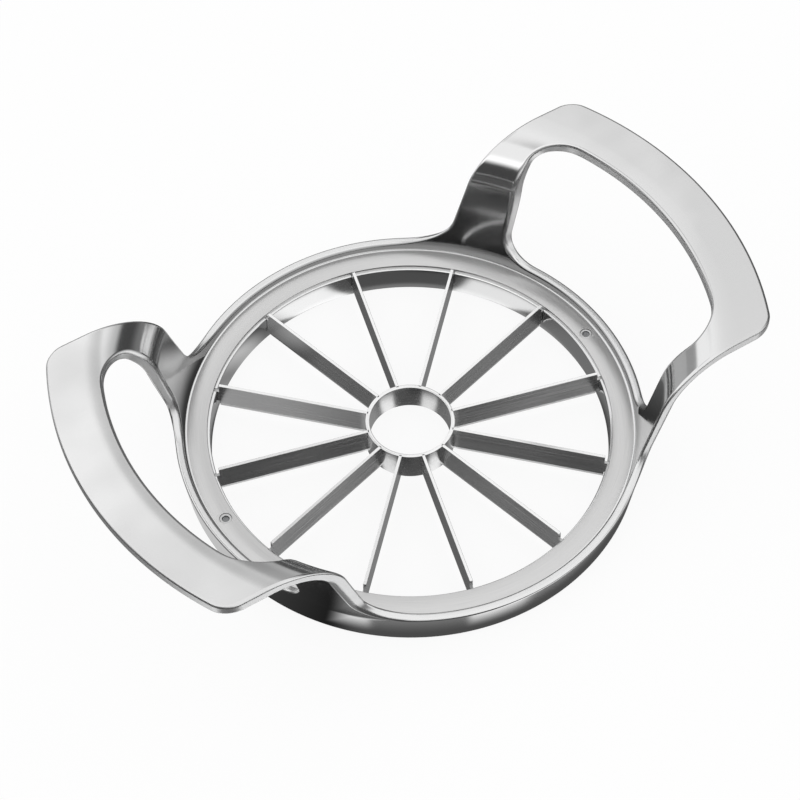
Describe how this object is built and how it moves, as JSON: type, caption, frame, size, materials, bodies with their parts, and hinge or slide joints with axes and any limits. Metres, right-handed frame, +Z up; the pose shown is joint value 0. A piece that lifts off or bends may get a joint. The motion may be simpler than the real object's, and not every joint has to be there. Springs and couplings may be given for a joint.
{
  "type": "apple slicer",
  "caption": "Polished cast ring frame with two raised loop handles, a star of straight blades round a core ring, and a flat retaining ring held by pins.",
  "frame": {"origin": "on the ring's axis, in the plane of the ring's underside", "axes": "+Z up along the ring's axis, +X along the line through both handles, +Y across the handles"},
  "size_m": [0.1792, 0.121, 0.045],
  "materials": {
    "polished_casting": "polished zinc alloy casting",
    "satin_plate": "fine satin stainless steel",
    "blade_steel": "plain stainless steel strip"
  },
  "bodies": {
    "root": {"frame_casting": "polished_casting", "retaining_ring": "satin_plate", "retaining_pins": "satin_plate", "core_ring": "blade_steel", "blade_01": "blade_steel", "blade_02": "blade_steel", "blade_03": "blade_steel", "blade_04": "blade_steel", "blade_05": "blade_steel", "blade_06": "blade_steel", "blade_07": "blade_steel", "blade_08": "blade_steel", "blade_09": "blade_steel", "blade_10": "blade_steel", "blade_11": "blade_steel", "blade_12": "blade_steel"}
  },
  "joints": []
}
